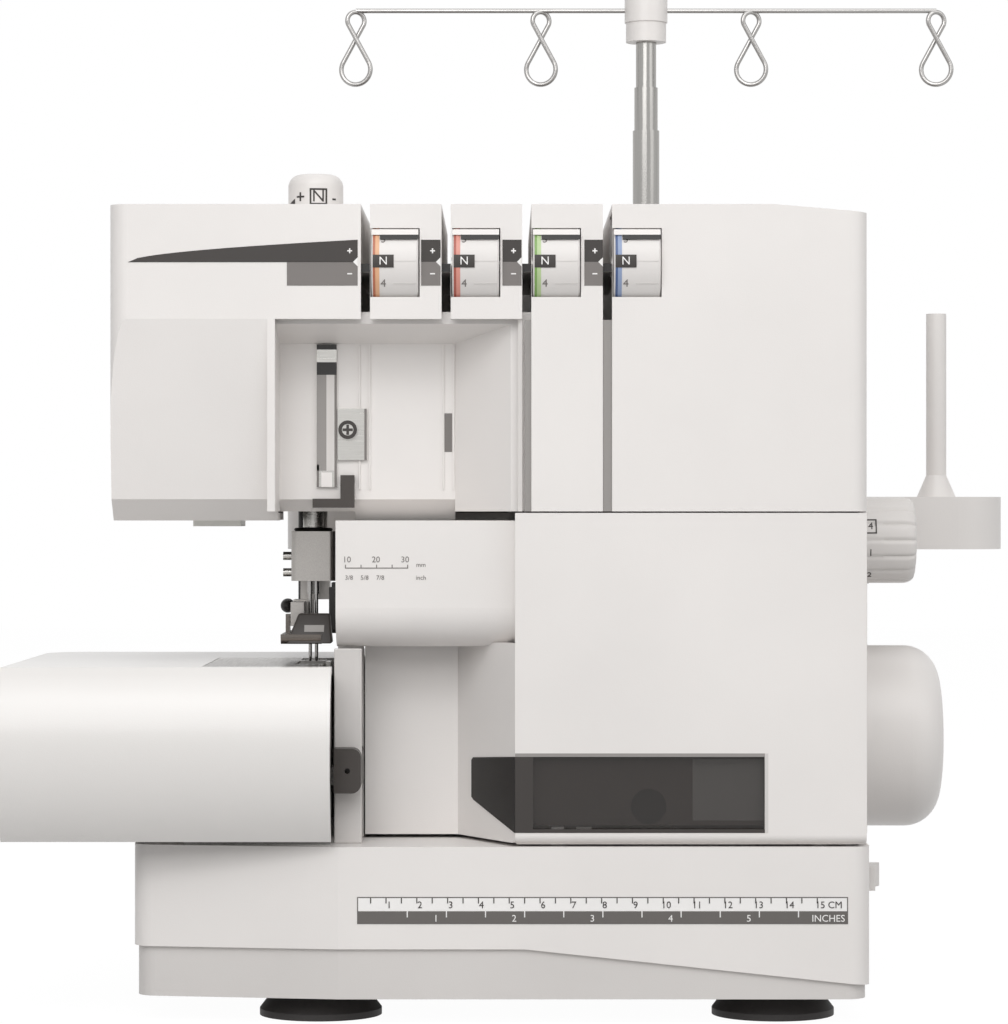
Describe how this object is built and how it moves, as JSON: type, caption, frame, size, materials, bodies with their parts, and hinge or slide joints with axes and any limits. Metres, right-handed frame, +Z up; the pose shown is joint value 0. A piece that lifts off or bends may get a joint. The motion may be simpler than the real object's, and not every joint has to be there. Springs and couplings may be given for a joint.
{
  "type": "overlock sewing machine",
  "caption": "Domestic overlock sewing machine with looper cover, tension dials, handwheel, cloth plate and telescopic thread stand.",
  "frame": {"origin": "on the table, under the middle of the overall box", "axes": "+X to the handwheel, +Y to the back, +Z up"},
  "size_m": [0.349, 0.2537, 0.361],
  "materials": {
    "casing": "moulded white plastic, satin",
    "casing_shade": "moulded pale grey plastic",
    "cloth_plate": "white plastic, slightly glossy",
    "smoked_window": "smoked clear plastic",
    "rubber": "black rubber",
    "dark_plastic": "dark moulded plastic",
    "dial_plastic": "white moulded dial",
    "steel": "ground steel",
    "wire_steel": "bright drawn wire",
    "casting": "cast light alloy",
    "brass": "sintered bronze bushes",
    "motor_paint": "dark painted motor can",
    "lens": "frosted lamp lens"
  },
  "bodies": {
    "machine": {"base_pan": "casing_shade", "base_housing": "casing", "rubber_feet": "rubber", "power_inlet": "dark_plastic", "front_cover": "casing", "rear_cover": "casing", "column_cover": "casing", "free_arm": "casting", "needle_plate": "steel", "main_frame": "casting", "bushes": "brass", "bed_cover": "casing", "motor": "motor_paint", "drive_belt": "rubber", "presser_spring": "steel", "lower_knife_holder": "dark_plastic", "lower_knife": "steel", "tension_spindles": "steel", "spool_stand": "casing", "spool_pins": "casing", "pole_lower": "wire_steel", "take_up_cover": "steel", "thread_guide_plate": "steel", "thread_hook": "dark_plastic", "lamp": "lens", "casing_screws": "steel"},
    "cover_rod": {"cover_hinge_rod": "steel"},
    "looper_cover": {"looper_cover": "casing", "looper_cover_window": "smoked_window"},
    "cloth_plate": {"cloth_plate": "cloth_plate"},
    "main_shaft": {"main_shaft": "steel", "handwheel": "casing", "driven_pulley": "casting"},
    "motor_rotor": {"motor_pulley": "steel"},
    "needle_bar": {"needle_bar": "steel", "needle_clamp": "steel", "needles": "wire_steel", "needle_set_screws": "steel"},
    "presser_bar": {"presser_bar": "steel", "presser_ankle": "steel"},
    "presser_foot": {"presser_foot": "steel"},
    "pressure_dial": {"pressure_dial": "dial_plastic"},
    "foot_lifter": {"foot_lifter": "dark_plastic"},
    "lower_looper": {"lower_looper": "steel"},
    "upper_looper": {"upper_looper": "steel"},
    "differential_feed_dog": {"differential_feed_dog": "steel"},
    "main_feed_dog": {"main_feed_dog": "steel"},
    "upper_knife": {"upper_knife_arm": "steel", "upper_knife": "steel"},
    "tension_dial_1": {"tension_dial_1": "dial_plastic"},
    "tension_dial_2": {"tension_dial_2": "dial_plastic"},
    "tension_dial_3": {"tension_dial_3": "dial_plastic"},
    "tension_dial_4": {"tension_dial_4": "dial_plastic"},
    "stitch_length_dial": {"stitch_length_dial": "dial_plastic"},
    "differential_feed_dial": {"differential_feed_dial": "dial_plastic"},
    "power_switch": {"power_switch": "dark_plastic"},
    "pole_middle": {"pole_middle": "wire_steel"},
    "pole_upper": {"pole_upper": "wire_steel", "pole_cap": "casing", "thread_guide_wire": "wire_steel"}
  },
  "joints": [
    {"name": "handwheel_turn", "type": "hinge", "parent": "machine", "child": "main_shaft", "pos_m": [0, -0.003, 0.0877], "axis": [1, 0, 0], "continuous": true},
    {"name": "motor_turn", "type": "hinge", "parent": "machine", "child": "motor_rotor", "pos_m": [0, 0.03, 0.036], "axis": [1, 0, 0], "continuous": true},
    {"name": "needle_bar_stroke", "type": "slide", "parent": "machine", "child": "needle_bar", "axis": [0, 0, 1], "range_m": [0, 0.028]},
    {"name": "presser_drop", "type": "slide", "parent": "machine", "child": "presser_bar", "axis": [0, 0, 1], "range_m": [-0.0046, 0]},
    {"name": "presser_foot_tilt", "type": "hinge", "parent": "presser_bar", "child": "presser_foot", "pos_m": [-0.081, -0.069, 0.1305], "axis": [1, 0, 0], "range_deg": [-3, 3]},
    {"name": "foot_lifter_swing", "type": "hinge", "parent": "machine", "child": "foot_lifter", "pos_m": [-0.084, 0.02, 0.182], "axis": [0, 1, 0], "range_deg": [0, 70]},
    {"name": "pressure_dial_turn", "type": "hinge", "parent": "machine", "child": "pressure_dial", "pos_m": [-0.076, -0.046, 0.2668], "axis": [0, 0, 1], "range_deg": [-150, 150]},
    {"name": "lower_looper_rock", "type": "hinge", "parent": "machine", "child": "lower_looper", "pos_m": [-0.03, -0.05, 0.072], "axis": [0, 1, 0], "range_deg": [-8, 10]},
    {"name": "upper_looper_rock", "type": "hinge", "parent": "machine", "child": "upper_looper", "pos_m": [-0.052, -0.05, 0.07], "axis": [0, 1, 0], "range_deg": [-6, 6]},
    {"name": "differential_feed_stroke", "type": "slide", "parent": "machine", "child": "differential_feed_dog", "axis": [0, 1, 0], "range_m": [-0.002, 0.002]},
    {"name": "main_feed_stroke", "type": "slide", "parent": "machine", "child": "main_feed_dog", "axis": [0, 1, 0], "range_m": [-0.002, 0.002]},
    {"name": "upper_knife_stroke", "type": "slide", "parent": "machine", "child": "upper_knife", "axis": [0, 0, 1], "range_m": [-0.008, 0]},
    {"name": "stitch_length_turn", "type": "hinge", "parent": "machine", "child": "stitch_length_dial", "pos_m": [0.1068, -0.023, 0.157], "axis": [1, 0, 0], "range_deg": [-120, 120]},
    {"name": "differential_feed_turn", "type": "hinge", "parent": "machine", "child": "differential_feed_dial", "pos_m": [0.1068, 0.022, 0.157], "axis": [1, 0, 0], "range_deg": [-120, 120]},
    {"name": "power_switch_rock", "type": "hinge", "parent": "machine", "child": "power_switch", "pos_m": [0.10645, -0.088, 0.046], "axis": [0, 0, 1], "range_deg": [0, 14]},
    {"name": "cover_unlatch", "type": "slide", "parent": "machine", "child": "cover_rod", "axis": [1, 0, 0], "range_m": [0, 0.008]},
    {"name": "cover_open", "type": "hinge", "parent": "cover_rod", "child": "looper_cover", "pos_m": [0.05, -0.1096, 0.0618], "axis": [1, 0, 0], "range_deg": [0, 85]},
    {"name": "cloth_plate_pull", "type": "slide", "parent": "machine", "child": "cloth_plate", "axis": [-1, 0, 0], "range_m": [0, 0.055]},
    {"name": "pole_middle_slide", "type": "slide", "parent": "machine", "child": "pole_middle", "axis": [0, 0, 1], "range_m": [-0.014, 0.05]},
    {"name": "pole_upper_slide", "type": "slide", "parent": "pole_middle", "child": "pole_upper", "axis": [0, 0, 1], "range_m": [-0.014, 0.05]},
    {"name": "tension_turn_1", "type": "hinge", "parent": "machine", "child": "tension_dial_1", "pos_m": [-0.0469, -0.101, 0.2478], "axis": [1, 0, 0], "range_deg": [-130, 130]},
    {"name": "tension_turn_2", "type": "hinge", "parent": "machine", "child": "tension_dial_2", "pos_m": [-0.0207, -0.101, 0.2478], "axis": [1, 0, 0], "range_deg": [-130, 130]},
    {"name": "tension_turn_3", "type": "hinge", "parent": "machine", "child": "tension_dial_3", "pos_m": [0.0055, -0.101, 0.2478], "axis": [1, 0, 0], "range_deg": [-130, 130]},
    {"name": "tension_turn_4", "type": "hinge", "parent": "machine", "child": "tension_dial_4", "pos_m": [0.0317, -0.101, 0.2478], "axis": [1, 0, 0], "range_deg": [-130, 130]}
  ],
  "couplings": [
    {"joint": "motor_turn", "follows": "handwheel_turn", "ratio": 3},
    {"joint": "foot_lifter_swing", "follows": "presser_drop", "rad_per_m": -265}
  ]
}
